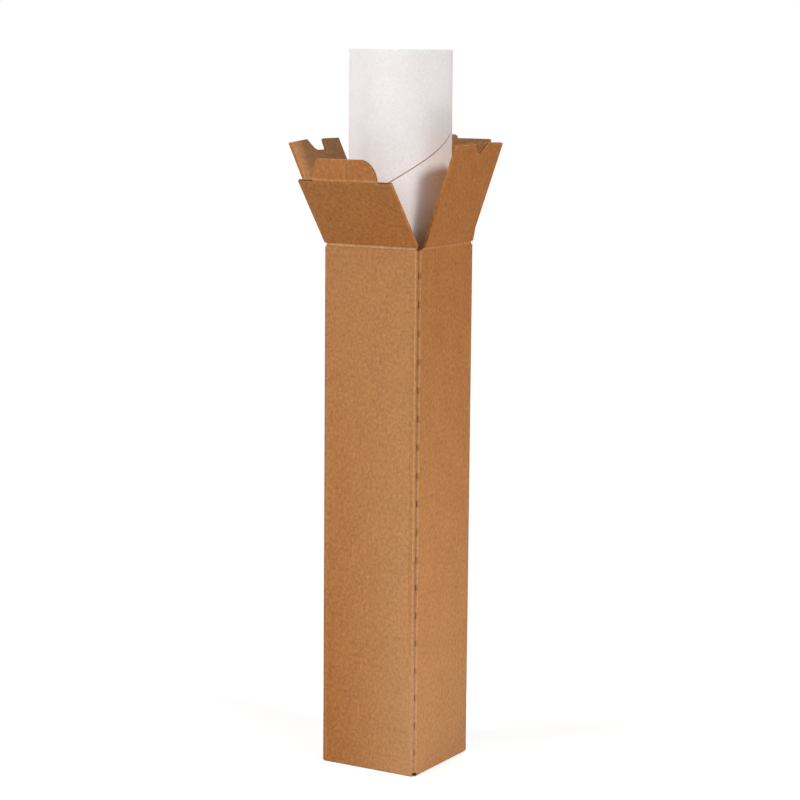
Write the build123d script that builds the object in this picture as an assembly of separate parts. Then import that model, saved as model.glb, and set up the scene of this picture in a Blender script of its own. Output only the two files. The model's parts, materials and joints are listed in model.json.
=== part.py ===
from build123d import *
import os
from math import asin, copysign, cos, degrees, radians, tan

os.makedirs("parts", exist_ok=True)

# A tall square carton of corrugated board with its four top flaps standing open,
# and the spiral-wound paper tube that ships in it. Millimetres, +Z up, and the
# front wall faces -Y. The origin is on the floor under the carton's centre.

# Carton
inside_width = 102.0  # clear width between the walls, either way
carton_height = 527.8  # floor to the top creases
board = 2.8  # single-wall corrugated board
fold_radius = 0.4  # inside radius of a fold

# Glued seam: a tab on the back wall lies inside the left wall
tab_width = 30.0
tab_inset = 9.0  # from the top and bottom of the walls
tab_taper = 7.0  # cut off the tab's free corners
seam_setback = 0.6  # the left wall's cut edge stops this short of the corner

# Bottom: four flaps folded shut and glued, the outer pair under the inner pair
bottom_seam_gap = 1.2  # between two flaps that meet at the middle
bottom_fold_radius = 1.7  # outside radius where the crease crushes the board
outer_flap_setback = 1.4  # outer pair, from the faces beside them
inner_flap_setback = 3.0  # inner pair, from the faces beside them
bottom_slot_height = 6.4  # floor to the upper end of the corner slots
foot_hole_width = 2.4  # hole through the foot of the slit corner, in from the right wall
foot_hole_length = 4.0  # back along the right wall
foot_hole_skin = 0.6  # board left in front of it

# Slots beside the side flaps, measured from the corner, seen from outside
slot_left = 12.0
slot_right = 4.4
slot_overrun = 2.8  # how far a slot runs down into the corner past the crease

# Creases that a flap turns on
crease_gap = 0.4  # crushed board left out of the fold line
crease_bevel = 1.1  # inner edge pressed in along the crease
bevel_angle = 45.0

# Front flap, and the tuck tongue on its end
front_flap_length = 79.4
front_lean = 37.7  # outward from upright, degrees
front_inset = 1.9  # right side, from the wall's edge
front_taper = 1.1  # taken off that side towards the end
tongue_length = 22.3
tongue_inset_left = 16.5  # from the wall's edges
tongue_inset_right = 19.4
tongue_chamfer_across = 6.2
tongue_chamfer_down = 7.1
tongue_sweep_radius = 23.9  # struck from the crease line
tongue_fold = 37.7  # inward from flat with the flap, degrees
tongue_mitre = 46.5  # each side of the groove inside its crease, degrees

# Side flaps, each with a notch in its end, seen from outside
right_flap_length = 105.2
right_lean = 19.4  # outward from upright, degrees
right_flap_drop_left = 1.0  # cut off the end's corners
right_flap_drop_right = 0.9
right_notch_start = -5.5  # from the wall's centre
right_notch_steep_run = 8.2  # left side of the notch
right_notch_floor = 6.4
right_notch_slope_run = 10.9  # right side of the notch
right_notch_depth = 10.6
right_notch_round = 3.0  # between the floor and the sloped side
left_flap_length = 108.9
left_lean = 25.5  # outward from upright, degrees
left_flap_drop_left = 0.2
left_flap_drop_right = 2.5
left_notch_start = -12.4
left_notch_steep_run = 2.0
left_notch_floor = 19.0
left_notch_slope_run = 8.8
left_notch_depth = 12.1
left_notch_round = 9.0

# Back flap, with a low lip on its end
back_flap_length = 105.9
back_lean = 19.6  # outward from upright, degrees
lip_width = 28.6
lip_height = 3.8
lip_round = 2.0

# Slits pressed through the fold between the front and right walls
slit_length = 6.4
slit_width = 1.1
slit_pitch = 28.0
first_slit_height = 24.6
last_slit_margin = 20.0  # kept clear under the top crease

# Tube
tube_clearance = 0.3  # to each wall
tube_wall = 2.5
tube_length = 711.4

# Places that follow from these sizes
inside_half = inside_width / 2
half = inside_half + board  # centre to the outer face of a wall
middle = half - board / 2  # centre to the middle of a wall's thickness
middle_fold_radius = fold_radius + board / 2
tab_middle = inside_half - board / 2
back_wall_end = tab_middle - middle_fold_radius  # where the tab's fold begins
wall_top = carton_height - crease_gap / 2
corner_angle = 45.0  # a wall to the line across its corner
cut_margin = 1.0  # how far a cutting solid stands past what it cuts


def turned(shape, quarter_turns):
    """A front-wall shape on another wall: 1 is the right wall, 2 the back and 3 the left."""
    return Rot(Z=90 * quarter_turns) * shape


def block(x_span, y_span, z_span):
    """Box between two limits on each axis."""
    spans = (x_span, y_span, z_span)
    sizes = [high - low for low, high in spans]
    centre = [(low + high) / 2 for low, high in spans]
    return Pos(*centre) * Box(*sizes)


def bar(profile, start, length):
    """A profile drawn in Y and Z, run along X from the given start."""
    return extrude(Plane.YZ.offset(start) * profile, length)


def wall_ring():
    """Four walls as one bent strip, from the back wall's left edge round to the left wall's."""
    route = FilletPolyline(
        (-back_wall_end, middle),
        (middle, middle),
        (middle, -middle),
        (-middle, -middle),
        (-middle, half - seam_setback),
        radius=middle_fold_radius,
    )
    return extrude(Pos(Z=bottom_slot_height) * trace(route, board), wall_top - bottom_slot_height)


def seam_tab():
    """Tab folded in from the back wall's left edge and glued to the inside of the left wall."""
    free_end = inside_half - tab_width
    route = FilletPolyline(
        (cut_margin - back_wall_end, middle),
        (-tab_middle, middle),
        (-tab_middle, free_end),
        radius=middle_fold_radius,
    )
    fold_end = middle - middle_fold_radius
    low = bottom_slot_height + tab_inset
    high = wall_top - tab_inset
    outline = Polygon(
        (half, low),
        (half, high),
        (fold_end, high),
        (free_end, high - tab_taper),
        (free_end, low + tab_taper),
        (fold_end, low),
    )
    return extrude(trace(route, board), carton_height) & bar(outline, -half, half)


def bottom_flap(layer, inset):
    """Bottom flap of the front wall and its crushed fold, so many boards above the floor."""
    low = layer * board
    high = low + board
    profile = Polygon(
        (-half, bottom_slot_height),
        (-half, low),
        (-bottom_seam_gap / 2, low),
        (-bottom_seam_gap / 2, high),
        (-inside_half, high),
        (-inside_half, bottom_slot_height),
    )
    profile = fillet(profile.vertices().sort_by_distance((-half, low))[0], bottom_fold_radius)
    return bar(profile, -half + inset, 2 * (half - inset))


def foot_hole():
    """Small hole that the slit corner's folds leave at the floor."""
    along = -half + foot_hole_skin
    return block((half - foot_hole_width, half + cut_margin), (along, along + foot_hole_length), (-cut_margin, board))


def slot_end(flap_edge, corner):
    """Foot of a slot beside a front-wall flap, sloping from the flap's edge down to the corner."""
    outside = copysign(half + cut_margin, corner)
    outline = Polygon(
        (flap_edge, wall_top + cut_margin),
        (flap_edge, wall_top),
        (corner, wall_top - slot_overrun),
        (outside, wall_top - slot_overrun),
        (outside, wall_top + cut_margin),
    )
    return extrude(Plane.XZ.offset(middle) * outline, board / 2 + cut_margin, both=True)


def top_slots():
    """Ends of the slots between the top flaps, which run down through the corners."""
    ends = (slot_end(-half + slot_left, -inside_half), slot_end(half - slot_right, inside_half))
    return [turned(end, side) for side in (1, 3) for end in ends]


def corner_slits():
    """Row of short slits through the fold between the front and right walls."""
    fold_at = inside_half - fold_radius + middle_fold_radius * cos(radians(corner_angle))
    slit = Rot(Z=-corner_angle) * Box(board + 2 * cut_margin, slit_width, slit_length)
    room = carton_height - last_slit_margin - first_slit_height
    heights = [first_slit_height + i * slit_pitch for i in range(int(room / slit_pitch) + 1)]
    return [Pos(fold_at, -fold_at, height) * slit for height in heights]


def top_bevel():
    """Wedge that presses in the walls' inner edges along the top creases."""
    mouth = Pos(Z=wall_top - crease_bevel) * Rectangle(inside_width, inside_width)
    return extrude(mouth, crease_bevel + cut_margin, taper=-bevel_angle)


def make_carton():
    """Walls, seam tab and closed bottom: everything in the sheet that stays put."""
    sheet = wall_ring() + seam_tab()
    for side in (0, 2):
        sheet += turned(bottom_flap(0, outer_flap_setback), side)
        sheet += turned(bottom_flap(1, inner_flap_setback), side + 1)
    return sheet - top_slots() - corner_slits() - foot_hole() - top_bevel()


def upright_outline(length, inset_right=0.0, taper=0.0):
    """Plain flap outline above its crease, its right side set in from the wall's edge."""
    right = half - inset_right
    foot = crease_gap / 2
    return Polygon((-half, foot), (right, foot), (right - taper, length), (-half, length))


def notched_outline(length, drops, start, runs, depth, rounding):
    """Side flap: the notch in its end has a steep left side, a floor and a sloped right side."""
    left = -half + slot_left
    right = half - slot_right
    floor_start = start + runs[0]
    slope_foot = floor_start + runs[1]
    outline = Polygon(
        (left, crease_gap / 2),
        (right, crease_gap / 2),
        (right, length - drops[1]),
        (slope_foot + runs[2], length),
        (slope_foot, length - depth),
        (floor_start, length - depth),
        (start, length),
        (left, length - drops[0]),
    )
    corner = outline.vertices().sort_by_distance((slope_foot, length - depth))[0]
    return fillet(corner, rounding)


def right_outline():
    """Right flap, its notch narrow at the floor."""
    return notched_outline(
        right_flap_length,
        (right_flap_drop_left, right_flap_drop_right),
        right_notch_start,
        (right_notch_steep_run, right_notch_floor, right_notch_slope_run),
        right_notch_depth,
        right_notch_round,
    )


def left_outline():
    """Left flap, its notch wide at the floor."""
    return notched_outline(
        left_flap_length,
        (left_flap_drop_left, left_flap_drop_right),
        left_notch_start,
        (left_notch_steep_run, left_notch_floor, left_notch_slope_run),
        left_notch_depth,
        left_notch_round,
    )


def lipped_outline(length):
    """Back flap: a low rounded lip stands at the middle of its end."""
    foot = length - lip_round
    top = length + lip_height
    lip = Pos(Y=(foot + top) / 2) * Rectangle(lip_width, top - foot)
    lip = fillet(lip.vertices().group_by(Axis.Y)[-1], lip_round)
    return upright_outline(length) + lip


def flap(outline):
    """Upright flap on the front wall's crease: outer face in Y = 0, crease at Z = 0."""
    panel = extrude(Plane.XZ * outline, -board)
    inner_foot = panel.edges().filter_by(Axis.X).group_by(Axis.Z)[0].sort_by(Axis.Y)[-1]
    return chamfer(inner_foot, crease_bevel)


def mitre_cut(left, right):
    """What a tongue's crease takes away above Z = 0, open to the inside of the fold."""
    depth = board + cut_margin
    gap = crease_gap / 2
    wedge = Polygon(
        (-cut_margin, -cut_margin),
        (depth, -cut_margin),
        (depth, gap + depth * tan(radians(tongue_mitre))),
        (0, gap),
        (-cut_margin, gap),
    )
    return bar(wedge, left, right - left)


def front_flap():
    """Front flap with the tongue's crease mitred into its end."""
    left = -half + tongue_inset_left - crease_gap
    right = half - tongue_inset_right + crease_gap
    crease = Pos(Z=front_flap_length) * mirror(mitre_cut(left, right), Plane.XY)
    return flap(upright_outline(front_flap_length, front_inset, front_taper)) - crease


def front_tongue():
    """Tongue upright on its crease, chamfered on the left and swept round on the right."""
    left = -half + tongue_inset_left
    right = half - tongue_inset_right
    sweep = degrees(asin(tongue_length / tongue_sweep_radius))
    arc = CenterArc((right - tongue_sweep_radius, 0), tongue_sweep_radius, 0, sweep)
    sides = Polyline(
        arc @ 1,
        (left + tongue_chamfer_across, tongue_length),
        (left, tongue_length - tongue_chamfer_down),
        (left, 0),
        arc @ 0,
    )
    panel = extrude(Plane.XZ * make_face(arc + sides), -board)
    return panel - mitre_cut(left - cut_margin, right + cut_margin)


def on_crease(shape, side, lean):
    """Lean an upright flap outward on its wall's top crease."""
    return turned(Pos(Y=-half, Z=carton_height) * Rot(X=lean) * shape, side)


def mailing_tube():
    """Spiral-wound tube standing on the carton's bottom flaps."""
    radius = inside_half - tube_clearance
    ring = Circle(radius) - Circle(radius - tube_wall)
    return extrude(Pos(Z=2 * board) * ring, tube_length)


tongue_on_flap = Pos(Z=front_flap_length) * Rot(X=-tongue_fold) * front_tongue()

pieces = {
    "carton": make_carton(),
    "front_flap": on_crease(front_flap(), 0, front_lean),
    "front_tongue": on_crease(tongue_on_flap, 0, front_lean),
    "right_flap": on_crease(flap(right_outline()), 1, right_lean),
    "back_flap": on_crease(flap(lipped_outline(back_flap_length)), 2, back_lean),
    "left_flap": on_crease(flap(left_outline()), 3, left_lean),
    "mailing_tube": mailing_tube(),
}

for name, piece in pieces.items():
    export_step(piece, f"parts/{name}.step")
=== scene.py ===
import json
from math import atan2, cos, pi, radians, sin, sqrt, tan, tau

import bmesh
import bpy
import numpy as np
from mathutils import Matrix, Vector, noise


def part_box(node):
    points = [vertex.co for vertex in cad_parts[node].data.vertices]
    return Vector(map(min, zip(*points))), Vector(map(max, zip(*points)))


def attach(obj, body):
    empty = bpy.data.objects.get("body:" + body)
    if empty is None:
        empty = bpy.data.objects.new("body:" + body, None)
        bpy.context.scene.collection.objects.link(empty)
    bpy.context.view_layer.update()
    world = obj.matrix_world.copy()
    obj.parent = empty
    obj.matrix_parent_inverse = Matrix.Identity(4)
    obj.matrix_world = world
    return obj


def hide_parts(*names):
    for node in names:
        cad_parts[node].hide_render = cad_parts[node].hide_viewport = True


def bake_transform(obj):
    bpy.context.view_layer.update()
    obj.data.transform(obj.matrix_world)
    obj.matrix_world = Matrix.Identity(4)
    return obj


# A tall square carton of corrugated board with its top flaps open round a spiral-wound
# paper tube. Metres, +Z up, and the front wall faces -Y. Each part of the carton is made
# flat, as board with liners and flutes, and then folded as the real sheet is.
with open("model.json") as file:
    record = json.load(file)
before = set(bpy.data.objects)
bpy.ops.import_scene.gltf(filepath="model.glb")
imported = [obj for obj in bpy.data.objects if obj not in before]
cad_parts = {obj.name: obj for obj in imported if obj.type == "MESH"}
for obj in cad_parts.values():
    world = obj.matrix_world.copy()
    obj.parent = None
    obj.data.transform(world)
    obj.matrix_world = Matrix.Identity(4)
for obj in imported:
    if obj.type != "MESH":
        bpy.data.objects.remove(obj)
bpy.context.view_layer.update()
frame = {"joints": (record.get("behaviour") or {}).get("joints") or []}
creases = {joint["name"]: joint for joint in frame["joints"]}

MM = 0.001
SIDES = {"front_flap": 0, "right_flap": 1, "back_flap": 2, "left_flap": 3}

# Board
board = 2.8 * MM
liner = 0.34 * MM
flute_paper = 0.24 * MM
flute_pitch = 6.4 * MM
flute_steps = 16  # facets in one wave
flute_step = flute_pitch / flute_steps
touching = 0.001 * MM  # points closer than this are one
hair = 0.01 * MM  # columns this close together make a step in an outline
fold_radius = 0.4 * MM  # inside radius of a fold
outer_radius = fold_radius + board
middle_radius = fold_radius + board / 2
fold_edge = 0.75  # how far the outer paper is drawn to a sharp edge on the unslit folds

# Carton
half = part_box("carton")[1].x
crease_height = creases["front_flap_crease"]["pos_m"][2]
inside_half = half - board
middle = half - board / 2
fold_length = pi / 2 * middle_radius
flat_half = middle - middle_radius  # wall centre to the start of a fold
wall_step = 2 * flat_half + fold_length  # one wall to the next along the sheet
bottom_slot_height = 6.4 * MM
seam_setback = 0.6 * MM
tab_width = 30 * MM
tab_inset = 9 * MM
tab_taper = 7 * MM
back_wall_end = inside_half - board / 2 - middle_radius

# Bottom flaps
bottom_seam_gap = 1.2 * MM
bottom_fold_radius = 1.5 * MM  # outside radius where the crease crushes the board
bottom_fold_board = 1.3 * MM  # the board's thickness in that crease
bottom_setbacks = (1.4 * MM, 3 * MM)  # outer pair, inner pair
bottom_folds = (0.0, 0.2 * MM)  # height of each pair's crease over the floor
bottom_arc = pi / 2 * bottom_fold_radius
bottom_straight = [bottom_slot_height - fold - bottom_fold_radius for fold in bottom_folds]
bottom_rise = 8 * MM  # run over which the inner pair climbs onto the outer pair
bottom_crush = 1.8 * MM  # the crushed board thickens again over this run
bottom_rows = (1.2 * MM, 0.4 * MM, 1.6 * MM)  # spacing above the crease, round it and in the climb
corner_low = 4 * MM  # the near corner's fold ends here, over the hole at its foot
corner_tip = 1 * MM  # the other folds run down to a tip here, between the bottom flaps
foot_hole = (50.4 * MM, 48.6 * MM)  # its left side and its back, from the carton's middle
foot_hole_back = 47.6 * MM  # where the right wall's bottom flap begins beside the hole
hole_shade = (5 * MM, 6 * MM)  # painted shade round the hole, along the crease and in under the floor
foot_light_reach = 3 * MM  # the walls' painted sheen and floor light run this far in under the floor

# Top flaps
slot_left = 12 * MM
slot_right = 4.4 * MM
slot_drop = 3 * MM  # the slots slope down into the corners by this much
slot_slope = (-slot_drop, -0.2 * MM)  # heights of that slope's two ends
side_step = (-0.3 * MM, 0.3 * MM)  # heights between which a flap with no slots grows to its width
front_inset = 1.9 * MM  # front flap's right side, from the wall's edge
front_taper = 1.1 * MM  # taken off that side towards the end
taper_start = 40 * MM  # the taper leaves the board left of this alone

# Creases
crease_reach = 3.2 * MM  # board crushed either side of a crease
crease_spread = 1.3 * MM  # the fold's arc reaches this far either side
wall_top = crease_height - crease_reach
open_limit = 150  # degrees each top flap opens from upright
FLAP_CREASE = {"pinch": 1.1 * MM, "groove": 0.4 * MM, "crest_at": -1.4 * MM, "crest_height": 0.3 * MM}
TONGUE_CREASE = {"pinch": 1.5 * MM, "groove": 0.3 * MM, "crest_at": 2 * MM, "crest_height": 0.0}

# Slits pressed through the fold between the front and right walls
slit_length = 6.4 * MM
slit_span = (0.1 * MM, 0.6 * MM)  # across the fold, along the sheet's middle
slit_pitch = 28 * MM
first_slit_height = 24.6 * MM
last_slit_margin = 20 * MM
slit_fold = wall_step / 2  # where that fold lies along the sheet
slit_shade = 2.3 * MM  # painted shade beside a slit, to this far from the fold
fold_strip = 7 * MM  # sheet either side of the fold that is meshed finely

# Fold lines pressed into the walls: a groove, and the ridges that swell beside it
unslit_press = 0.35  # how deep the unslit folds are pressed, as a share of the slit one
groove_deep = 0.8 * MM
groove_wide = 0.5 * MM
ridge_high = 0.28 * MM
ridge_wide = 0.7 * MM
ridge_offset = 1.9 * MM
groove_shade_wide = 0.7 * MM  # crushed paper with painted shade in the groove
ridge_light_wide = 0.7 * MM  # painted highlight on the ridges
ridge_light_offset = 2 * MM

# Tongue, lip, and the notches in the side flaps' ends
tongue_length = 22.3 * MM
tongue_left = -half + 16.5 * MM
tongue_right = half - 19.4 * MM
tongue_chamfer = (6.2 * MM, 7.1 * MM)
tongue_sweep_radius = 23.9 * MM
tongue_fold = radians(creases["tongue_crease"]["range_deg"][1])
lip_half = 14.3 * MM
lip_height = 3.8 * MM
lip_round = 2 * MM
RIGHT_END = {
    "drops": (1.0 * MM, 0.9 * MM),  # cut off the end's corners
    "start": -5.5 * MM,
    "runs": (8.2 * MM, 6.4 * MM, 10.9 * MM),  # steep side, floor, sloped side
    "depth": 10.6 * MM,
    "rounding": 3 * MM,  # between the floor and the sloped side
}
LEFT_END = {
    "drops": (0.2 * MM, 2.5 * MM),
    "start": -12.4 * MM,
    "runs": (2 * MM, 19 * MM, 8.8 * MM),
    "depth": 12.1 * MM,
    "rounding": 9 * MM,
}
fray = 1.3 * MM  # how far a worn cut end reaches into the face
flap_speck = (43.0, 0.0, 544.8)  # dark speck on the front flap, in millimetres on the flat sheet

# Tube
tube_low, tube_high = (corner.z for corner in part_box("mailing_tube"))
tube_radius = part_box("mailing_tube")[1].x
tube_wall = 2.5 * MM
ply = 0.25 * MM
ply_pitch = 195 * MM
ply_gap = 1.3 * MM
ply_columns = 7  # across a ply's strip
tube_facets = 144
seam_height = 595.6 * MM  # where the outer seam crosses the side that faces the camera
camera_azimuth = radians(30.61)


def srgb(red, green, blue):
    """Linear colour of an sRGB one given from 0 to 255."""
    shares = [value / 255 for value in (red, green, blue)]
    return tuple(((s + 0.055) / 1.055) ** 2.4 if s > 0.04045 else s / 12.92 for s in shares) + (1.0,)


# Node trees


def new_tree(kind, name, inputs, outputs):
    """A node group with named sockets of each kind, what its input node gives, and its output node."""
    tree = bpy.data.node_groups.new(name, kind)
    for way, sockets in (("INPUT", inputs), ("OUTPUT", outputs)):
        for socket, titles in sockets.items():
            for title in titles:
                tree.interface.new_socket(title, in_out=way, socket_type=f"NodeSocket{socket}")
    return tree, tree.nodes.new("NodeGroupInput").outputs, tree.nodes.new("NodeGroupOutput")


def fill(tree, made, inputs):
    """Gives a node its inputs. Each is a value, or another node's output."""
    for key, value in inputs.items():
        if isinstance(value, bpy.types.NodeSocket):
            tree.links.new(value, made.inputs[key])
        else:
            made.inputs[key].default_value = value


def node(tree, kind, inputs=None, **settings):
    """Adds a node with its settings and inputs."""
    made = tree.nodes.new(kind)
    for name, value in settings.items():
        setattr(made, name, value)
    fill(tree, made, inputs or {})
    return made


def calc(tree, operation, *values):
    """Result of a Math node."""
    return node(tree, "ShaderNodeMath", dict(enumerate(values)), operation=operation).outputs[0]


def vector(tree, x, y, z):
    """Vector put together from three numbers."""
    return node(tree, "ShaderNodeCombineXYZ", {0: x, 1: y, 2: z}).outputs[0]


def coat(tree, geometry, paper, chosen=True):
    """Puts a paper's material on the chosen faces."""
    given = {"Geometry": geometry, "Selection": chosen, "Material": paper}
    return node(tree, "GeometryNodeSetMaterial", given).outputs[0]


def kept(tree, name, output):
    """A value that the mesh keeps at each point."""
    return node(tree, "ShaderNodeAttribute", attribute_type="GEOMETRY", attribute_name=name).outputs[output]


def colour_between(tree, share, low, high):
    """Colour that runs from one to another."""
    return node(tree, "ShaderNodeMix", {0: share, 6: low, 7: high}, data_type="RGBA").outputs[2]


def corrugated_board():
    """Board from a flat panel in X and Z: two liners and, between them, the fluted paper."""
    inputs = {
        "Geometry": ["Panel"],
        "Float": ["Board", "Liner", "Flute Paper", "Pitch", "First Flute"],
        "Material": ["Face", "Inside", "Flutes", "Cut"],
    }
    outputs = {"Geometry": ["Board"]}
    tree, given, result = new_tree("GeometryNodeTree", "corrugated_board", inputs, outputs)
    place = node(tree, "GeometryNodeInputPosition").outputs[0]
    across = node(tree, "ShaderNodeSeparateXYZ", {0: place}).outputs[0]
    turns = calc(tree, "DIVIDE", calc(tree, "SUBTRACT", across, given["First Flute"]), given["Pitch"])
    wave = calc(tree, "SINE", calc(tree, "MULTIPLY", turns, tau))
    half_board = calc(tree, "MULTIPLY", given["Board"], 0.5)
    half_paper = calc(tree, "MULTIPLY", given["Flute Paper"], 0.5)
    flute_middle = calc(tree, "SUBTRACT", half_board, half_paper)
    swing = calc(tree, "SUBTRACT", flute_middle, given["Liner"])
    flute_face = calc(tree, "MULTIPLY_ADD", wave, swing, flute_middle)
    inner_face = calc(tree, "SUBTRACT", given["Board"], given["Liner"])
    layers = node(tree, "GeometryNodeJoinGeometry")
    sides = []
    for depth, thickness, material in (
        (0.0, given["Liner"], "Face"),
        (flute_face, given["Flute Paper"], "Flutes"),
        (inner_face, given["Liner"], "Inside"),
    ):
        lowering = {"Geometry": given["Panel"], "Offset": vector(tree, 0, depth, 0)}
        lower = node(tree, "GeometryNodeSetPosition", lowering)
        raising = {"Mesh": lower.outputs[0], "Offset": vector(tree, 0, thickness, 0), "Individual": False}
        raised = node(tree, "GeometryNodeExtrudeMesh", raising)
        under = node(tree, "GeometryNodeFlipFaces", {"Mesh": lower.outputs[0]})
        shell = node(tree, "GeometryNodeJoinGeometry", {"Geometry": raised.outputs[0]})
        fill(tree, shell, {0: under.outputs[0]})
        closing = {"Geometry": shell.outputs[0], "Distance": touching}
        closed = node(tree, "GeometryNodeMergeByDistance", closing)
        fill(tree, layers, {0: coat(tree, closed.outputs[0], given[material])})
        sides.append(raised.outputs["Side"])
    marking = {"Geometry": layers.outputs[0], "Name": "sheet", "Value": place}
    marked = node(tree, "GeometryNodeStoreNamedAttribute", marking, data_type="FLOAT_VECTOR", domain="POINT")
    real = node(tree, "GeometryNodeRealizeInstances", {"Geometry": marked.outputs[0]})
    cut = node(tree, "FunctionNodeBooleanMath", {0: sides[0], 1: sides[1]}, operation="OR")
    cut = node(tree, "FunctionNodeBooleanMath", {0: cut.outputs[0], 1: sides[2]}, operation="OR")
    fill(tree, result, {0: coat(tree, real.outputs[0], given["Cut"], cut.outputs[0])})
    return tree


def wound_strip():
    """One ply: a strip wound up a cylinder with a gap left between its turns."""
    inputs = {
        "Geometry": ["Geometry"],
        "Float": ["Radius", "Pitch", "Gap", "Low", "Turns", "Start"],
        "Int": ["Across", "Along"],
        "Material": ["Paper"],
    }
    outputs = {"Geometry": ["Ply"]}
    tree, given, result = new_tree("GeometryNodeTree", "wound_strip", inputs, outputs)
    flat = {"Size X": 1.0, "Size Y": 1.0, "Vertices X": given["Across"], "Vertices Y": given["Along"]}
    grid = node(tree, "GeometryNodeMeshGrid", flat)
    place = node(tree, "GeometryNodeInputPosition").outputs[0]
    spot = node(tree, "ShaderNodeSeparateXYZ", {0: place})
    across = calc(tree, "ADD", spot.outputs[0], 0.5)
    along = calc(tree, "MULTIPLY", calc(tree, "ADD", spot.outputs[1], 0.5), given["Turns"])
    angle = calc(tree, "MULTIPLY_ADD", along, tau, given["Start"])
    width = calc(tree, "SUBTRACT", given["Pitch"], given["Gap"])
    rise = calc(tree, "MULTIPLY_ADD", along, given["Pitch"], given["Low"])
    height = calc(tree, "MULTIPLY_ADD", across, width, rise)
    x = calc(tree, "MULTIPLY", calc(tree, "COSINE", angle), given["Radius"])
    y = calc(tree, "MULTIPLY", calc(tree, "SINE", angle), given["Radius"])
    winding = {"Geometry": grid.outputs[0], "Position": vector(tree, x, y, height)}
    wound = node(tree, "GeometryNodeSetPosition", winding)
    real = node(tree, "GeometryNodeRealizeInstances", {"Geometry": wound.outputs[0]})
    fill(tree, result, {0: coat(tree, real.outputs[0], given["Paper"])})
    return tree


def placed(name, data):
    """New object in the scene."""
    made = bpy.data.objects.new(name, data)
    bpy.context.scene.collection.objects.link(made)
    return made


def finished_mesh(holder, keep_all=False):
    """Plain mesh of an object with its modifiers worked out. The object itself goes."""
    graph = bpy.context.evaluated_depsgraph_get()
    source = holder.evaluated_get(graph)
    mesh = bpy.data.meshes.new_from_object(source, preserve_all_data_layers=keep_all, depsgraph=graph)
    bpy.data.objects.remove(holder)
    return mesh


def made_with(tree, start, values):
    """Mesh that a geometry tree makes from a starting mesh, with inputs given by name."""
    holder = placed("holder", start)
    modifier = holder.modifiers.new("tree", "NODES")
    modifier.node_group = tree
    sockets = {item.name: item.identifier for item in tree.interface.items_tree if item.in_out == "INPUT"}
    for name, value in values.items():
        modifier[sockets[name]] = value
    return finished_mesh(holder, keep_all=True)


# Mesh helpers


def points_of(mesh):
    """Vertex places as rows of a table."""
    places = np.empty(len(mesh.vertices) * 3)
    mesh.vertices.foreach_get("co", places)
    return places.reshape(-1, 3)


def place_points(mesh, places):
    """Moves every vertex to its row of the table."""
    mesh.vertices.foreach_set("co", np.asarray(places, float).ravel())
    mesh.update()


def store(mesh, name, values, kind="FLOAT"):
    """Keeps a value of each vertex for the materials."""
    attribute = mesh.attributes.get(name) or mesh.attributes.new(name, kind, "POINT")
    field = "vector" if kind == "FLOAT_VECTOR" else "value"
    attribute.data.foreach_set(field, np.asarray(values, np.float32).ravel())


def mesh_of(name, places, faces, papers=()):
    """Mesh from its points and faces."""
    mesh = bpy.data.meshes.new(name)
    mesh.from_pydata(places, [], faces)
    for paper in papers:
        mesh.materials.append(paper)
    return mesh


def joined(name, meshes):
    """One object from several meshes, smooth except at its sharp edges."""
    parts = [placed(name, mesh) for mesh in meshes]
    if len(parts) > 1:
        with bpy.context.temp_override(active_object=parts[0], selected_editable_objects=parts):
            bpy.ops.object.join()
    piece = parts[0]
    piece.name = name
    piece.data.name = name
    piece.data.shade_smooth()
    piece.data.set_sharp_from_angle(angle=radians(32))
    return piece


def smooth(share):
    """Eased step from 0 to 1."""
    share = np.clip(share, 0, 1)
    return share * share * (3 - 2 * share)


def wander(x, y, z):
    """Smooth random value from about -1 to 1, the same each run."""
    return noise.noise(Vector((x, y, z)))


def stations(start, end, spacing):
    """Places from start to end, no further apart than the spacing."""
    count = max(1, round(abs(end - start) / spacing + 0.49))
    return np.linspace(start, end, count + 1)


def between(left, right, breaks, spacing=flute_step):
    """Columns from left to right, with one at every break in the outline."""
    corners = [left, *sorted(b for b in breaks if left < b < right), right]
    runs = [stations(a, b, spacing)[:-1] for a, b in zip(corners, corners[1:])]
    return np.concatenate([*runs, [right]])


def panel(columns, levels_at, skip=None):
    """Flat panel in X and Z that faces +Y: a column of vertices at each X, up to its own height."""
    levels = [levels_at(x) for x in columns]
    rows = len(levels[0])
    places = [(x, 0, z) for x, heights in zip(columns, levels) for z in heights]
    faces = []
    for i in range(len(columns) - 1):
        for j in range(rows - 1):
            if skip and skip((columns[i] + columns[i + 1]) / 2, (levels[i][j] + levels[i][j + 1]) / 2):
                continue
            a = i * rows + j
            faces.append((a, a + 1, a + rows + 1, a + rows))
    mesh = mesh_of("panel", places, faces)
    loose = bmesh.new()
    loose.from_mesh(mesh)
    bmesh.ops.delete(loose, geom=[v for v in loose.verts if not v.link_faces], context="VERTS")
    loose.to_mesh(mesh)
    loose.free()
    return mesh


def lofted(name, rings, papers, marks=None):
    """Closed bar through rings of points. Its sides take the first paper, its two ends the last."""
    count = len(rings[0])
    places = [point for ring_points in rings for point in ring_points]
    faces = []
    for i in range(len(rings) - 1):
        for j in range(count):
            a, b = i * count + j, i * count + (j + 1) % count
            faces.append((a, a + count, b + count, b))
    last = (len(rings) - 1) * count
    faces.append(tuple(range(count)))
    faces.append(tuple(last + j for j in reversed(range(count))))
    mesh = mesh_of(name, places, faces, papers)
    for end in (-2, -1):
        mesh.polygons[end].material_index = len(papers) - 1
    store(mesh, "sheet", places, "FLOAT_VECTOR")
    for mark in ("score_and_shade", "wear_and_highlight"):
        store(mesh, mark, np.clip((marks or {}).get(mark, np.zeros(len(places))), 0, 1))
    return mesh


# Folding: every function takes rows of (along the sheet, depth from its outer face, height)


def turned(places, side):
    """A front-wall shape on another wall: 1 is the right wall, 2 the back and 3 the left."""
    x, y, z = places.T
    for _ in range(side % 4):
        x, y = -y, x
    return np.column_stack((x, y, z))


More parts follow.
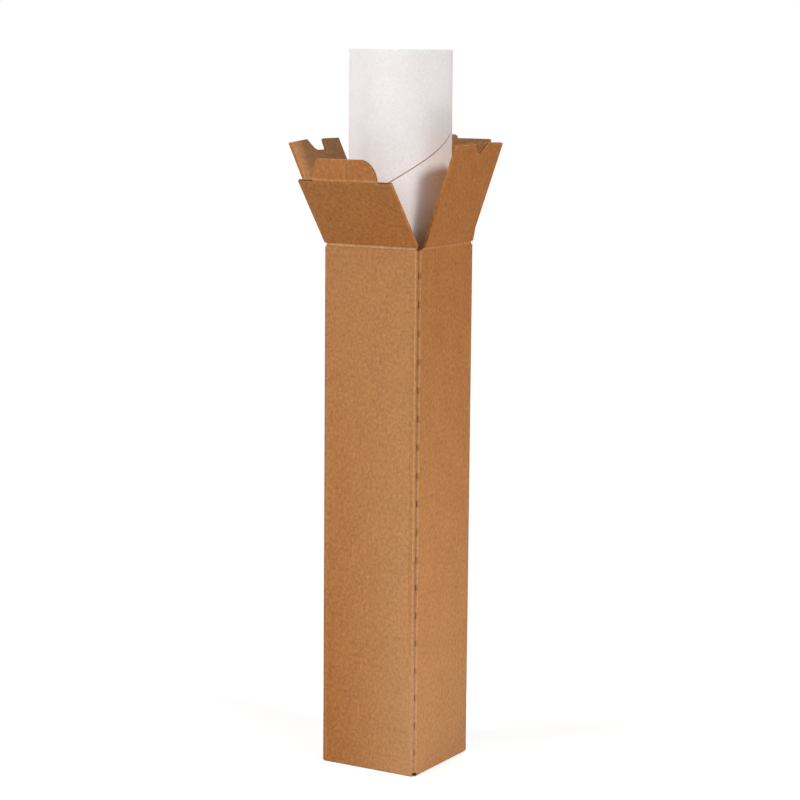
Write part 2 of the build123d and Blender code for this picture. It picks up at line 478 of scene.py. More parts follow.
def leaned(places, side, lean):
    """Flap points above a crease, leaned outward on a wall's crease."""
    x, y, z = places.T
    out = y * cos(lean) - z * sin(lean) - half
    up = y * sin(lean) + z * cos(lean) + crease_height
    return turned(np.column_stack((x, out, up)), side)


def bent(places, angle):
    """Bends a strip about height 0, on an arc of its outer face that is tangent to both sides."""
    x, depth, z = places.T
    radius = crease_spread / tan(angle / 2)
    turn = angle * np.clip((z + crease_spread) / (2 * crease_spread), 0, 1)
    before = np.minimum(z + crease_spread, 0) - crease_spread
    after = np.maximum(z - crease_spread, 0)
    y = depth * np.cos(turn) - radius * (1 - np.cos(turn)) - after * np.sin(turn)
    up = depth * np.sin(turn) + radius * np.sin(turn) + after * np.cos(turn) + before
    return np.column_stack((x, y, up))


def groove_depth(offset, height, strength):
    """How far the outer face is pressed in beside a fold line, less the ridges that swell beside it."""
    groove = groove_deep * np.exp(-((offset / groove_wide) ** 2))
    ridge = ridge_high * np.exp(-(((np.abs(offset) - ridge_offset) / ridge_wide) ** 2))
    uneven = np.array([0.75 + 0.5 * wander(h / (9 * MM), 0.3, 0.7) for h in height])
    return strength * (groove - ridge * uneven)


def in_slit(height):
    """Is a height within one of the slits in the front right fold?"""
    margin = 0.1 * MM
    foot = first_slit_height - slit_length / 2 - margin
    top = crease_height - last_slit_margin + slit_length
    return ((height - foot) % slit_pitch < slit_length + 2 * margin) & (height > foot) & (height < top)


def painted_wall_light(x, height):
    """How pale the walls' outer paper is painted: an even painted sheen on the front, painted floor light
    that grows down the right wall and towards the front's lower right and is most about the near foot, and
    painted shade towards the front's lower left.
    """
    ease = 2 * MM  # the walls' shares meet over this much either side of a fold
    low = smooth((200 * MM - height) / (150 * MM))
    front = 0.2 + 0.2 * low * x / (45 * MM)
    right = 0.03 + 0.25 * np.clip(1 - height / crease_height, 0, 1) ** 1.6
    past = smooth((x - half + ease) / (2 * ease))
    before = smooth((-x - half + ease) / (2 * ease))
    side = np.where(x > slit_fold + wall_step, 0.1, right)
    return np.clip(front * (1 - past) * (1 - before) + side * past + 0.1 * before, 0, 1)


def fold_walls(mesh):
    """Folds the flat sheet of four walls round the carton and marks its worn fold lines."""
    places = points_of(mesh)
    x, depth, height = places.T
    wall = np.clip(np.round(x / wall_step), -1, 2)
    local = x - wall * wall_step
    sign = np.sign(local)
    past = np.clip(np.abs(local) - flat_half, 0, fold_length / 2)
    cut_end = ((wall == -1) & (local < 0)) | ((wall == 2) & (local > 0))
    folds = (np.abs(local) > flat_half) & ~cut_end
    beside_fold = (np.abs(local) > flat_half - fold_strip) & ~cut_end
    unmarked = 1.0  # a metre off, clear of every fold
    offset = np.where(beside_fold, np.abs(local) - wall_step / 2, unmarked)
    strength = np.where(np.abs(x - slit_fold) < wall_step / 3, 1.0, unslit_press)
    angle = np.where(folds, past / fold_length * pi / 2, 0)
    edge = fold_edge * outer_radius * (1 / np.maximum(np.cos(angle), np.sin(angle)) - 1) * (strength < 1)
    sunk = depth + (groove_depth(offset, height, strength) - edge) * (1 - depth / board)
    radius = outer_radius - sunk
    corner = half - outer_radius
    bend_x = sign * (corner + radius * np.sin(angle))
    bend_y = -corner - radius * np.cos(angle)
    flat = np.column_stack((np.where(folds, bend_x, local), np.where(folds, bend_y, sunk - half), height))
    folded = np.zeros_like(flat)
    for side in (-1, 0, 1, 2):
        mine = wall == side
        folded[mine] = turned(flat[mine], side)
    place_points(mesh, folded)
    outside = depth < liner / 2
    # Darker paper in the fold's groove, which is crushed paper with painted shade, and painted shade beside
    # each slit; painted highlight on the ridges beside the fold
    shade_beside_slit = in_slit(height) & (x > slit_fold) & (x < slit_fold + slit_shade)
    score_and_shade = np.maximum(strength * np.exp(-((offset / groove_shade_wide) ** 4)), 0.6 * shade_beside_slit)
    store(mesh, "score_and_shade", np.where(outside, score_and_shade, 0))
    wear_and_highlight = 0.6 * strength * np.exp(-(((np.abs(offset) - ridge_light_offset) / ridge_light_wide) ** 2)) * ~shade_beside_slit
    # The walls' painted sheen, floor light and floor shade, kept beside the ridges' painted highlight
    store(mesh, "wear_and_highlight", np.where(outside, np.maximum(wear_and_highlight, painted_wall_light(x, height)), 0))
    return mesh


def fold_tab(mesh):
    """Folds the glued seam tab in from the back wall's edge."""
    x, depth, height = points_of(mesh).T
    past = x - back_wall_end
    turn = np.clip(past / fold_length, 0, 1) * pi / 2
    radius = outer_radius - depth
    along = np.clip(past - fold_length, 0, None)
    local_x = back_wall_end + radius * np.sin(turn)
    local_y = outer_radius - half - radius * np.cos(turn) + along
    place_points(mesh, turned(np.column_stack((local_x, local_y, height)), 2))
    return mesh


def fold_bottom(mesh, layer, side):
    """Folds a bottom flap in under the carton, with its crease crushed thin."""
    x, depth, height = points_of(mesh).T
    crease, straight = bottom_folds[layer], bottom_straight[layer]
    past = bottom_slot_height - height
    turn = np.clip((past - straight) / bottom_arc, 0, 1) * pi / 2
    away = np.maximum(straight - past, past - straight - bottom_arc)
    crushed = 1 - smooth(away / bottom_crush)
    depth = depth * (1 - crushed * (1 - bottom_fold_board / board))
    radius = bottom_fold_radius - depth
    along = np.clip(past - straight - bottom_arc, 0, None)
    y = bottom_fold_radius - half - radius * np.cos(turn) + along
    climb = (layer * board - crease) * smooth(along / bottom_rise)
    z = np.where(past < straight, height, crease + bottom_fold_radius - radius * np.sin(turn)) + climb
    root = smooth((straight - past) / straight + 0.2)
    edge = half - bottom_setbacks[layer]
    x = x * (1 + root * (flat_half / edge - 1))
    near = (x < 0) & (side == 1)
    x = np.where(near, x * (1 - (1 - root) * (1 - foot_hole_back / edge)), x)
    place_points(mesh, turned(np.column_stack((x, y, z)), side))


# Flap ends: each returns the height of the flap's end above its crease


def notched_end(length, edges, drops, start, runs, depth, rounding):
    """End of a side flap, with a notch that is steep on the left and slopes out on the right."""
    floor = length - depth
    floor_start = start + runs[0]
    foot = floor_start + runs[1]
    stop = foot + runs[2]
    slope = atan2(depth, runs[2])
    tangent = rounding * tan(slope / 2)
    arc_start = foot - tangent
    arc_end = foot + tangent * cos(slope)
    corners = (edges[0], start, floor_start, foot, stop, edges[1])
    heights = (length - drops[0], length, floor, floor, length, length - drops[1])

    def end_at(x):
        if arc_start < x < arc_end:
            return floor + rounding - sqrt(rounding**2 - (x - arc_start) ** 2)
        return float(np.interp(x, corners, heights))

    return end_at, [start, floor_start, arc_start, arc_end, stop]


def lipped_end(length):
    """End of the back flap, with a low rounded lip at its middle."""

    def end_at(x):
        if abs(x) > lip_half:
            return length
        past = max(0.0, abs(x) - (lip_half - lip_round))
        return length + lip_height - lip_round + sqrt(lip_round**2 - past**2)

    return end_at, [-lip_half - hair, -lip_half, lip_half, lip_half + hair]


def tongued_end(length):
    """End of the front flap, cut back where the tongue's crease begins."""

    def end_at(x):
        return length - crease_reach if tongue_left <= x <= tongue_right else length

    return end_at, [tongue_left - hair, tongue_left, tongue_right, tongue_right + hair]


def tongue_end(x):
    """End of the tongue, chamfered on the left and swept round on the right."""
    centre = tongue_right - tongue_sweep_radius
    across, down = tongue_chamfer
    if x < tongue_left + across:
        return tongue_length - down * (1 - (x - tongue_left) / across)
    return min(tongue_length, sqrt(max(0.0, tongue_sweep_radius**2 - max(0.0, x - centre) ** 2)))


# Materials


def kraft_fibre():
    """Colour and relief of kraft paper on the flat sheet's own places."""
    inputs = {"Color": ["Dark", "Light"], "Float": ["Score And Shade", "Wear And Highlight"]}
    outputs = {"Color": ["Color"], "Float": ["Height", "Roughness"]}
    tree, given, result = new_tree("ShaderNodeTree", "kraft_fibre", inputs, outputs)
    sheet = kept(tree, "sheet", "Vector")
    in_mm = node(tree, "ShaderNodeVectorMath", {0: sheet, "Scale": 1 / MM}, operation="SCALE").outputs[0]

    def paper_noise(stretch, scale, detail, roughness):
        pulled = node(tree, "ShaderNodeVectorMath", {0: in_mm, 1: stretch}, operation="MULTIPLY").outputs[0]
        wanted = {"Vector": pulled, "Scale": scale, "Detail": detail, "Roughness": roughness}
        made = node(tree, "ShaderNodeTexNoise", wanted)
        return calc(tree, "SUBTRACT", made.outputs[0], 0.5)

    clouds = paper_noise((1, 1, 0.7), 0.05, 4, 0.65)
    grain = paper_noise((1, 1, 0.85), 0.3, 4, 0.75)
    fibres = paper_noise((0.5, 1, 1.6), 0.5, 2, 0.5)
    crossed = paper_noise((1.6, 1, 0.5), 0.5, 2, 0.5)
    tone = calc(tree, "MULTIPLY_ADD", clouds, 0.5, 0.5)
    for texture, share in ((grain, 1.9), (fibres, 0.2), (crossed, 0.25)):
        tone = calc(tree, "MULTIPLY_ADD", texture, share, tone)
    paper = colour_between(tree, tone, given["Dark"], given["Light"])
    flecks = node(tree, "ShaderNodeTexVoronoi", {"Vector": in_mm, "Scale": 0.11, "Randomness": 1.0})
    chance = node(tree, "ShaderNodeSeparateColor", {0: flecks.outputs[1]}).outputs[0]
    fleck = calc(tree, "LESS_THAN", flecks.outputs[0], calc(tree, "MULTIPLY", chance, 0.04))
    apart = node(tree, "ShaderNodeVectorMath", {0: in_mm, 1: flap_speck}, operation="DISTANCE")
    fleck = calc(tree, "MAXIMUM", fleck, calc(tree, "LESS_THAN", apart.outputs["Value"], 0.9))
    specked = colour_between(tree, calc(tree, "MULTIPLY", fleck, 0.6), paper, srgb(92, 56, 30))
    # Darker: crushed paper in the fold grooves, and painted shade in the grooves and crease lines, beside the
    # slits and round the foot hole
    dark = calc(tree, "MULTIPLY", given["Score And Shade"], 0.85)
    pressed = colour_between(tree, dark, specked, srgb(106, 52, 16))
    # Paler: frayed cut ends, painted highlight on the fold ridges and crease crests, and the walls' painted
    # sheen and floor light
    pale_share = calc(tree, "MULTIPLY", given["Wear And Highlight"], calc(tree, "MULTIPLY_ADD", grain, 1.4, 1.0))
    colour = colour_between(tree, pale_share, pressed, srgb(203, 162, 117))
    relief = calc(tree, "MULTIPLY_ADD", grain, 0.6, calc(tree, "ADD", fibres, crossed))
    rough = calc(tree, "MULTIPLY_ADD", grain, 0.2, 0.62)
    fill(tree, result, {"Color": colour, "Height": relief, "Roughness": rough})
    return tree


def material(name):
    """New material with its shader, ready for nodes."""
    made = bpy.data.materials.new(name)
    made.use_nodes = True
    return made, made.node_tree, made.node_tree.nodes["Principled BSDF"]


def kraft(name, dark, light):
    """Kraft paper between two tones, darker where it is scored and where shade is painted, and pale where it
    is frayed and where highlight, sheen and floor light are painted.
    """
    made, tree, shader = material(name)
    marks = {"Score And Shade": kept(tree, "score_and_shade", "Fac"), "Wear And Highlight": kept(tree, "wear_and_highlight", "Fac")}
    fibre = node(tree, "ShaderNodeGroup", {"Dark": dark, "Light": light, **marks}, node_tree=kraft_group)
    relief = {"Height": fibre.outputs["Height"], "Strength": 0.25, "Distance": 0.2 * MM}
    bump = node(tree, "ShaderNodeBump", relief)
    looks = {"Base Color": fibre.outputs["Color"], "Roughness": fibre.outputs["Roughness"]}
    fill(tree, shader, {**looks, "Normal": bump.outputs[0], "Specular IOR Level": 0.38})
    return made


def tube_paper(name, base, shade, ply_lines=0.0):
    """Wound paper: faint mottling, and fine ply lines on a cut end where they are asked for."""
    made, tree, shader = material(name)
    place = node(tree, "ShaderNodeTexCoord").outputs["Object"]
    fine = {"Vector": place, "Scale": 480.0, "Detail": 3.0, "Roughness": 0.65}
    mottle = node(tree, "ShaderNodeTexNoise", fine).outputs[0]
    broad = node(tree, "ShaderNodeTexNoise", {"Vector": place, "Scale": 70.0, "Detail": 2.0}).outputs[0]
    tone = calc(tree, "MULTIPLY_ADD", calc(tree, "SUBTRACT", mottle, 0.5), 1.8, 0.5)
    tone = calc(tree, "MULTIPLY_ADD", calc(tree, "SUBTRACT", broad, 0.5), 0.4, tone)
    if ply_lines:
        x, y = node(tree, "ShaderNodeSeparateXYZ", {0: place}).outputs[:2]
        squares = calc(tree, "ADD", calc(tree, "MULTIPLY", x, x), calc(tree, "MULTIPLY", y, y))
        rings = calc(tree, "SINE", calc(tree, "MULTIPLY", calc(tree, "SQRT", squares), pi / ply))
        tone = calc(tree, "MULTIPLY_ADD", rings, ply_lines, tone)
    colour = colour_between(tree, tone, shade, base)
    bump = node(tree, "ShaderNodeBump", {"Height": mottle, "Strength": 0.2, "Distance": 0.1 * MM})
    looks = {"Base Color": colour, "Normal": bump.outputs[0], "Roughness": 0.62, "Specular IOR Level": 0.3}
    fill(tree, shader, looks)
    return made


kraft_group = kraft_fibre()
kraft_face = kraft("kraft_face", srgb(125, 66, 10), srgb(189, 123, 56))
kraft_inside = kraft("kraft_inside", srgb(150, 98, 46), srgb(206, 152, 98))
# The flutes' paper is lighter than the face paper, which lifts the shade in the flute tunnels as painted
# light
kraft_flutes = kraft("kraft_flutes", srgb(136, 84, 38), srgb(206, 148, 92))
kraft_cut = kraft("kraft_cut", srgb(146, 82, 26), srgb(206, 134, 62))
white_paper = tube_paper("white_tube_paper", srgb(246, 241, 240), srgb(230, 225, 225))
core_paper = tube_paper("tube_core_paper", srgb(190, 152, 118), srgb(166, 128, 94), ply_lines=0.35)
lining_paper = tube_paper("tube_lining_paper", srgb(190, 150, 108), srgb(166, 126, 86))

# Corrugated pieces

board_tree = corrugated_board()
strip_tree = wound_strip()


def corrugate(flat, pitch=flute_pitch, first_flute=0.0):
    """Board made from a flat panel, with no fold marks yet."""
    layers = {"Board": board, "Liner": liner, "Flute Paper": flute_paper}
    flutes = {"Pitch": pitch, "First Flute": first_flute}
    papers = {"Face": kraft_face, "Inside": kraft_inside, "Flutes": kraft_flutes, "Cut": kraft_cut}
    mesh = made_with(board_tree, flat, {**layers, **flutes, **papers})
    for mark in ("score_and_shade", "wear_and_highlight"):
        store(mesh, mark, np.zeros(len(mesh.vertices)))
    return mesh


def shift_sheet(mesh, along, up=0.0):
    """Moves the kept flat places, so that the paper's pattern runs on over a crease."""
    flat = np.empty(len(mesh.vertices) * 3, np.float32)
    mesh.attributes["sheet"].data.foreach_get("vector", flat)
    store(mesh, "sheet", flat.reshape(-1, 3) + (along, 0, up), "FLOAT_VECTOR")
    return mesh


def wall_span(x):
    """Height span of the walls: they end over the bottom slots, lower at the corner folds."""
    local = x - round(x / wall_step) * wall_step
    if abs(local) <= flat_half or x < -wall_step - flat_half:
        return (bottom_slot_height, wall_top)
    if abs(x - slit_fold) < fold_length:
        return (corner_low, wall_top)
    share = 2 * (wall_step / 2 - abs(local)) / fold_length
    return (corner_tip + share * (corner_low - corner_tip), wall_top)


def make_walls():
    """The four walls, with the slit fold meshed apart from the rest."""
    first, last = -wall_step - half + seam_setback, 2 * wall_step + back_wall_end
    folds = [wall_step * (turn + 0.5) for turn in (-1, 1)]
    shifts = [sign * (fold_length / 2 + shift) for sign in (-1, 1) for shift in (0, hair)]
    bends = [fold + shift for fold in folds for shift in shifts]
    left = between(first, slit_fold - fold_strip, bends)
    right = between(slit_fold + fold_strip, last, bends)
    near, far = slit_span
    inner = 3 * MM  # the closest columns reach this far from the slit fold
    close = 0.24 * MM
    ends = stations(inner, fold_strip, 1 * MM)[1:]
    columns = (-ends[::-1], stations(-inner, near, close), stations(far, inner, close), ends, shifts)
    columns = np.unique(slit_fold + np.concatenate(columns))
    count = int((crease_height - last_slit_margin - first_slit_height) / slit_pitch) + 1
    rows = []
    row_step = 5.5 * MM
    margin = 0.3 * MM
    foot = bottom_slot_height
    for i in range(count):
        centre = first_slit_height + i * slit_pitch
        rows.extend(stations(foot, centre - slit_length / 2 - margin, row_step))
        rows.extend((centre - slit_length / 2, centre + slit_length / 2))
        foot = centre + slit_length / 2 + margin
    rows.extend(stations(foot, wall_top, row_step))

    def levels(x):
        return [wall_span(x)[0], *rows[1:]]

    def open_slit(x, z):
        return near < x - slit_fold < far and in_slit(z)

    flats = (panel(left, wall_span), panel(columns, levels, open_slit), panel(right, wall_span))
    return [fold_walls(corrugate(flat)) for flat in flats]


def make_tab():
    """Seam tab, tapered towards its free edge."""
    low = bottom_slot_height + tab_inset
    high = wall_top - tab_inset
    fold_end = back_wall_end + fold_length
    free_end = fold_end + flat_half - (inside_half - tab_width)

    def span(x):
        cut = max(0.0, (x - fold_end) / (free_end - fold_end)) * tab_taper
        return (low + cut, high - cut)

    flat = panel(stations(back_wall_end, free_end, flute_step), span)
    return shift_sheet(fold_tab(corrugate(flat)), 2 * wall_step)


def make_bottom():
    """Four bottom flaps, folded in and glued, the front and back pair outermost."""
    made = []
    for side in range(4):
        layer = side % 2
        edge = half - bottom_setbacks[layer]
        straight = bottom_straight[layer]
        under = straight + bottom_arc
        reach = under + half - bottom_fold_radius - bottom_seam_gap / 2
        upright = stations(0, straight, bottom_rows[0])
        rounded = stations(straight, under, bottom_rows[1])[1:]
        climbing = stations(under, under + bottom_rise, bottom_rows[2])[1:]
        drop = np.concatenate((upright, rounded, climbing, [reach]))[::-1]
        columns = between(-edge, edge, foot_hole[:1], 2 * flute_step)

        def open_hole(x, z):
            past = bottom_slot_height - z
            behind = half - bottom_fold_radius - (past - straight - bottom_arc)
            turned_under = past > straight + bottom_arc / 2
            return side == 0 and turned_under and x > foot_hole[0] and behind > foot_hole[1]

        mesh = corrugate(panel(columns, lambda x: bottom_slot_height - drop, open_hole))
        x, depth, height = points_of(mesh).T
        fold_bottom(mesh, layer, side)
        # The walls' painted sheen and floor light run on round the bottom crease
        outside = (depth < liner / 2) & (height > -foot_light_reach)
        store(mesh, "wear_and_highlight", np.where(outside, painted_wall_light(x + side * wall_step, height), 0))
        # Painted shade round the foot hole: its paper is darkened where shade falls into the hole
        if side < 2:
            to_corner = half - x if side == 0 else half + x
            shaded = (to_corner < hole_shade[0]) & (height > -hole_shade[1])
            store(mesh, "score_and_shade", shaded & (~outside | (height < 0)))
        made.append(shift_sheet(mesh, side * wall_step))
    return made


def frayed(mesh, end_at, uncut=(0, 0)):
    """Marks the frayed, paler paper along a flap's cut end, except where it goes on uncut."""
    x, depth, z = points_of(mesh).T
    ends = np.array([end_at(v) for v in x])
    patchy = [0.35 + 1.5 * wander(v / (5 * MM), e / (9 * MM), 4.4) for v, e in zip(x, ends)]
    on_face = (depth < touching) | (depth > board - touching)
    close = np.clip(1 - (ends - z) / fray, 0, 1) * ((x <= uncut[0]) | (x >= uncut[1]))
    store(mesh, "wear_and_highlight", 0.7 * np.clip(patchy, 0, 1) * close * on_face)
    return mesh


def cut_side(x, low, high, outward):
    """Side of a flap, cut along its flutes and pressed shut by the knife."""
    rim = 0.12 * MM
    deepest = 0.16 * MM
    depths = np.linspace(rim, board - rim, 7)
    back = x - outward * 0.8 * MM
    rings = []
    for z in stations(low, high, 1.6 * MM):
        dent = deepest * (1 + 0.9 * wander(x / (4 * MM), z / (3 * MM), 1.7))
        face = [(x - outward * dent * sin(pi * d / board), d, z) for d in depths]
        rings.append([*face, (back, depths[-1], z), (back, depths[0], z)])
    mesh = lofted("cut_side", rings, (kraft_cut,))
    if outward > 0:
        mesh.flip_normals()
    return mesh


def flap_meshes(left, right, end_at, breaks, uncut):
    """Corrugated flap from just above its crease to its end, with its two cut sides."""
    foot = crease_reach
    waves = round((right - left) / flute_pitch)
    levels = (3 * MM, fray, fray / 3, 0)
    flat = panel(between(left, right, breaks), lambda x: (foot, *(end_at(x) - level for level in levels)))
    sheet = frayed(corrugate(flat, (right - left) / waves, left), end_at, uncut)
    return [sheet, cut_side(left, foot, end_at(left), -1), cut_side(right, foot, end_at(right), 1)]


def lean_of(crease):
    """How far a flap leans outward from upright at rest."""
    return radians(open_limit - creases[crease]["range_deg"][1])


def flap_reach(node_name, side, lean):
    """Length of a flap along its outer face, from the box of its CAD node."""
    low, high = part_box(node_name)
    out = (-low.y, high.x, high.y, -low.x)[side] - half
    return out / sin(lean)


def crease_strip(edges_at, pinch, groove, crest_at, crest_height, seed, fade):
    """Crushed board across a crease, flat: a pressed line outside and a pinched face inside."""
    reach = crease_reach
    heights = np.linspace(-reach, reach, 25)
    window = (1 - (heights / reach) ** 2) ** 2
    line = np.exp(-(((heights - 0.35 * MM) / (0.6 * MM)) ** 2))
    crest = np.exp(-(((heights - crest_at) / (1.1 * MM)) ** 2))
    inner_heights = heights[::-2]
    inner_window = (1 - (inner_heights / reach) ** 2) ** 2
    score_and_shade, wear_and_highlight, rings = [], [], []
    spans = [edges_at(z) for z in (*heights, *inner_heights)]
    widest = max(high - low for low, high in spans)
    for share in stations(0, 1, 1.0 * MM / widest):
        at = share * widest
        uneven = wander(at / (7 * MM), seed, 0.2)
        rough = wander(at / (2.3 * MM), seed, 5.1)
        outer = window * (groove * (1 + 0.3 * uneven) * line - crest_height * (1 + 0.6 * rough) * crest)
        inner = board - pinch * (1 + 0.2 * uneven) * inner_window
        section = zip((*outer, *inner), (*heights, *inner_heights), spans)
        rings.append([(low + share * (high - low), y, z) for y, z, (low, high) in section])
        # Painted shade along the crease's pressed line, and painted highlight on its crest
        score_and_shade += [*(fade * line * (0.3 + 0.3 * uneven)), *np.zeros(len(inner))]
        wear_and_highlight += [*(fade * crest * (0.8 + 0.6 * rough)), *np.zeros(len(inner))]
    mesh = lofted("crease", rings, (kraft_face, kraft_inside, kraft_cut), {"score_and_shade": score_and_shade, "wear_and_highlight": wear_and_highlight})
    around = len(heights) + len(inner_heights)
    for index in range((len(rings) - 1) * around):
        mesh.polygons[index].material_index = int(index % around >= len(heights))
    return mesh


def strip_edges(heights, above):
    """Side limits of a crease strip: the wall's up to the first height, the flap's from the second."""
    below = (-flat_half, flat_half)

    def edges_at(z):
        return tuple(float(np.interp(z, heights, pair)) for pair in zip(below, above))

    return edges_at


def join_board(name, meshes):
    """The board of one CAD node, which moves with that node's body."""
    piece = joined(f"{name}_board", meshes)
    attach(piece, name)
    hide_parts(name)


def join_crease(name, strip, folded):
    """Folds a flat crease strip into place between the two pieces that it joins."""
    place_points(strip, folded(points_of(strip)))
    crease = joined(name, [strip])
    start, finish = folded(np.array([(0, 0, -crease_reach), (0, 0, crease_reach)]))
    tuple(start)
    tuple(finish)
    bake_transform(crease)


def tapered(places, side):
    """Draws in the front flap's right side towards its end."""
    x, y, z = places.T
    if side:
        return places
    share = np.clip((x - taper_start) / (half - front_inset - taper_start), 0, 1)
    return np.column_stack((x - front_taper * share * np.clip(z / front_length, 0, 1), y, z))


def dress_flap(name, end_at, breaks, edges, crest, uncut=(0, 0)):
    """A top flap and the creased strip that joins it to its wall."""
    side = SIDES[name]
    lean = lean_of(f"{name}_crease")
    meshes = flap_meshes(*edges, end_at, breaks, uncut)
    for mesh in meshes:
        shift_sheet(mesh, side * wall_step, crease_height)
        place_points(mesh, leaned(tapered(points_of(mesh), side), side, lean))
    join_board(name, meshes)
    edges_at = strip_edges(slot_slope if side % 2 else side_step, edges)
    strip = crease_strip(edges_at, seed=side + 0.5, fade=crest, **FLAP_CREASE)
    shift_sheet(strip, side * wall_step, crease_height)

    def folded(places):
        return leaned(bent(places, lean), side, 0)

    join_crease(f"{name}_crease_strip", strip, folded)


def dress_tongue(lean, length):
    """The tongue and the crease that it folds on at the front flap's end."""

    def on_flap(places):
        return leaned(places + (0, 0, length), 0, lean)

    across = stations(tongue_left, tongue_right, 0.2 * MM)
    foot = crease_reach
    columns = [x for x in across if tongue_end(x) > foot + 0.4 * MM]
    width = columns[-1] - columns[0]
    pitch = width / round(width / flute_pitch)
    rows = (0.9, 0.3, 0.0)  # shares of the fray, back from the end
    apart = touching * 10  # keeps rows that meet at the foot from falling together

    def levels(x):
        end = tongue_end(x)
        return (foot, *(max(foot, end - fray * share) - apart * share for share in rows))

    sheet = frayed(corrugate(panel(columns, levels), pitch, columns[0]), tongue_end)
    meshes = [sheet, cut_side(tongue_left, foot, tongue_end(tongue_left), -1)]
    for mesh in meshes:
        x, y, z = points_of(mesh).T
        out = y * cos(tongue_fold) + z * sin(tongue_fold)
        up = z * cos(tongue_fold) - y * sin(tongue_fold)
        shift_sheet(mesh, 0, crease_height + length)
        place_points(mesh, on_flap(np.column_stack((x, out, up))))
    join_board("front_tongue", meshes)
    edges = (tongue_left, tongue_right - 0.1 * MM)
    strip = crease_strip(lambda z: edges, seed=9.5, fade=0.4, **TONGUE_CREASE)
    shift_sheet(strip, 0, crease_height + length)

    def folded(places):
        return on_flap(bent(places, -tongue_fold))

    join_crease("tongue_crease_strip", strip, folded)


join_board("carton", [*make_walls(), make_tab(), *make_bottom()])

full_width = (-half, half)
front_width = (-half, half - front_inset)
slotted = (slot_left - half, half - slot_right)
lengths = {name: flap_reach(name, side, lean_of(f"{name}_crease")) for name, side in SIDES.items()}
front_length = lengths["front_flap"]
uncut = (tongue_left, tongue_right)
dress_flap("front_flap", *tongued_end(front_length), front_width, crest=0.75, uncut=uncut)
dress_tongue(lean_of("front_flap_crease"), front_length)
dress_flap("right_flap", *notched_end(lengths["right_flap"], slotted, **RIGHT_END), slotted, crest=0.3)
dress_flap("back_flap", *lipped_end(lengths["back_flap"] - lip_height), full_width, crest=0.6)
dress_flap("left_flap", *notched_end(lengths["left_flap"], slotted, **LEFT_END), slotted, crest=0.6)

# Tube


def wound_ply(name, radius, gap, start, paper):
    """One ply of the tube between its two cut ends, as thick as its paper."""
    turns = (tube_high - tube_low) / ply_pitch + 2
    winding = {"Radius": radius, "Pitch": ply_pitch, "Gap": gap, "Low": strip_foot, "Turns": turns}
    cells = {"Across": ply_columns, "Along": int(turns * tube_facets)}
    values = {**winding, "Start": start, **cells, "Paper": paper}
    mesh = made_with(strip_tree, bpy.data.meshes.new("seed"), values)
    strip = bmesh.new()
    strip.from_mesh(mesh)
    for height, up in ((tube_low, -1), (tube_high, 1)):
        geometry = [*strip.verts, *strip.edges, *strip.faces]
        plane = {"plane_co": (0, 0, height), "plane_no": (0, 0, up)}
        bmesh.ops.bisect_plane(strip, geom=geometry, dist=1e-7, clear_outer=True, **plane)
    strip.to_mesh(mesh)
    strip.free()
    piece = placed(name, mesh)
    solid = piece.modifiers.new("ply", "SOLIDIFY")
    solid.thickness = ply
    solid.offset = -1
    return joined(name, [finished_mesh(piece)])


def ring(name, outer, inner, low, high, paper):
    """Plain tube between two radii."""
    angles = [tau * i / tube_facets for i in range(tube_facets)]
    edges = ((outer, low), (outer, high), (inner, high), (inner, low))
    places = [(radius * cos(a), radius * sin(a), height) for radius, height in edges for a in angles]
    faces = []
    for start in range(0, len(places), tube_facets):
        upper = (start + tube_facets) % len(places)
        for i in range(tube_facets):
            k = (i + 1) % tube_facets
            faces.append((start + i, start + k, upper + k, upper + i))
    return joined(name, [mesh_of(name, places, faces, [paper])])


facing = camera_azimuth - pi / 2
strip_foot = tube_low - ply_pitch
seam_start = facing - tau * ((seam_height + ply_gap / 2 - strip_foot) / ply_pitch % 1)
outer_ply = wound_ply("tube_outer_ply", tube_radius, ply_gap, seam_start, white_paper)
core_inside = tube_radius - tube_wall + ply
inner_ply = wound_ply("tube_inner_ply", core_inside, ply_gap / 2, seam_start + pi, lining_paper)
core = ring("tube_core", tube_radius - ply, core_inside, tube_low, tube_high, core_paper)
for piece in (outer_ply, core, inner_ply):
    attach(piece, "carton")
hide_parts("mailing_tube")

# Camera at the photograph's place


def direction(azimuth, elevation):
    """Unit vector out from the carton. An azimuth of 0 is straight out from the front wall."""
    return Vector((sin(azimuth) * cos(elevation), -cos(azimuth) * cos(elevation), sin(elevation)))


camera_elevation = radians(8.435)
camera_roll = 0.0089039
camera_place = (1.191118, -2.009523, 0.715334)
back = direction(camera_azimuth, camera_elevation)
level = Vector((cos(camera_azimuth), sin(camera_azimuth), 0))
above = back.cross(level)
axis_x = level * cos(camera_roll) + above * sin(camera_roll)
axis_y = above * cos(camera_roll) - level * sin(camera_roll)
camera_data = bpy.data.cameras.new("camera")
camera_data.lens = 105.9
camera_data.sensor_width = 36
camera = placed("camera", camera_data)
turn = Matrix((axis_x, axis_y, back)).transposed().to_4x4()
camera.matrix_world = Matrix.Translation(camera_place) @ turn
bpy.context.scene.camera = camera

# Studio


def softbox(name, azimuth, elevation, distance, size, power, aim=0.4):
    """Square soft light aimed at a height on the carton's axis."""
    lamp = bpy.data.lights.new(name, "AREA")
    lamp.shape = "SQUARE"
    lamp.size = size
    lamp.energy = power
    holder = placed(name, lamp)
    away = direction(radians(azimuth), radians(elevation))
    holder.location = Vector((0, 0, aim)) + away * distance
    holder.rotation_mode = "QUATERNION"
    holder.rotation_quaternion = away.to_track_quat("Z", "Y")
    holder.visible_camera = False


softbox("key_light", 79, 36, 2.6, 0.45, 33.5)
softbox("left_light", -34, 34, 2.6, 1.3, 49)
softbox("back_light", 187, 62, 2.6, 0.8, 16)
softbox("low_light", 62, 12, 0.6, 0.25, 1.2, aim=0.06)

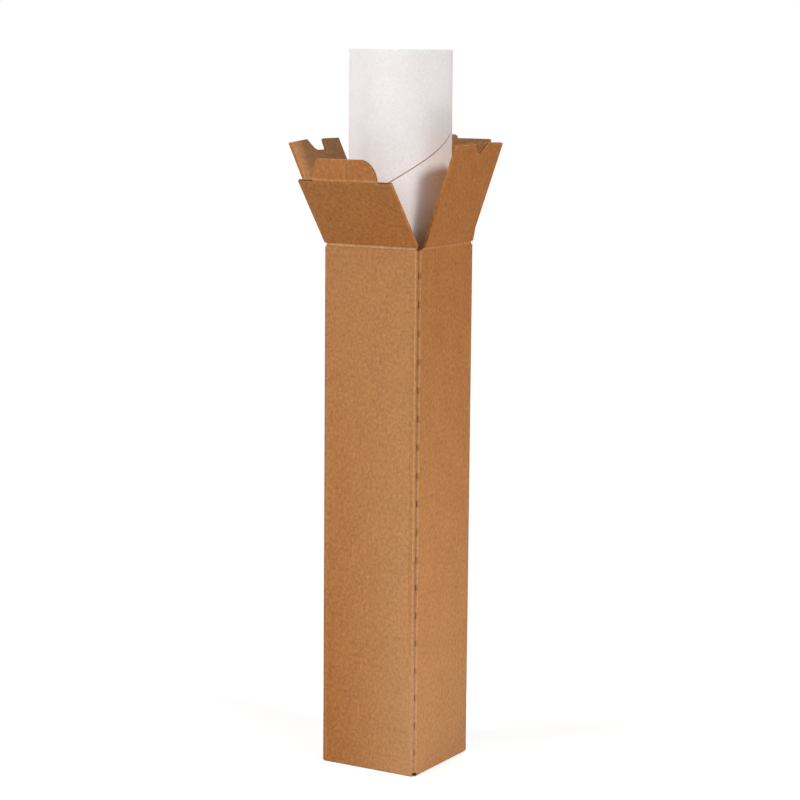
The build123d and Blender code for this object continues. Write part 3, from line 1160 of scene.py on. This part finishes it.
world = bpy.data.worlds.new("studio")
bpy.context.scene.world = world
world.use_nodes = True
world_tree = world.node_tree
world_tree.nodes.clear()
rays = node(world_tree, "ShaderNodeLightPath").outputs
bounced = calc(world_tree, "MAXIMUM", rays["Is Glossy Ray"], rays["Is Transmission Ray"])
seen = calc(world_tree, "MAXIMUM", rays["Is Camera Ray"], bounced)
ambient = node(world_tree, "ShaderNodeBackground", {"Color": (1, 1, 1, 1), "Strength": 0.1})
backdrop = node(world_tree, "ShaderNodeBackground", {"Color": (1, 1, 1, 1), "Strength": 1.0})
mixed = node(world_tree, "ShaderNodeMixShader", {0: seen, 1: ambient.outputs[0], 2: backdrop.outputs[0]})
node(world_tree, "ShaderNodeOutputWorld", {0: mixed.outputs[0]})

floor_reach = 6.0
floor_drop = 0.3 * MM
floor_sides = ((-1, -1), (1, -1), (1, 1), (-1, 1))
floor_corners = [(x * floor_reach, y * floor_reach, -floor_drop) for x, y in floor_sides]
floor_material, floor_tree, floor_shader = material("white_floor")
floor = placed("floor", mesh_of("floor", floor_corners, [(0, 1, 2, 3)], [floor_material]))
floor_looks = {"Base Color": (0.82, 0.82, 0.82, 1), "Roughness": 0.9, "Specular IOR Level": 0.0}
fill(floor_tree, floor_shader, floor_looks)
floor_rays = node(floor_tree, "ShaderNodeLightPath").outputs
seen_lift = calc(floor_tree, "MULTIPLY", floor_rays["Is Camera Ray"], 0.45)
lift = node(floor_tree, "ShaderNodeEmission", {"Strength": seen_lift})
both = node(floor_tree, "ShaderNodeAddShader", {0: floor_shader.outputs[0], 1: lift.outputs[0]})
white = node(floor_tree, "ShaderNodeEmission", {"Strength": 1.0})
floor_place = node(floor_tree, "ShaderNodeTexCoord").outputs["Object"]
distance = node(floor_tree, "ShaderNodeVectorMath", {0: floor_place}, operation="LENGTH").outputs["Value"]
far = node(floor_tree, "ShaderNodeMapRange", {"Value": distance, "From Min": 0.2, "From Max": 0.7}).outputs[0]
far_seen = calc(floor_tree, "MULTIPLY", far, floor_rays["Is Camera Ray"])
blend = node(floor_tree, "ShaderNodeMixShader", {0: far_seen, 1: both.outputs[0], 2: white.outputs[0]})
floor_tree.links.new(blend.outputs[0], floor_tree.nodes["Material Output"].inputs[0])

bpy.context.scene.view_settings.view_transform = "Standard"
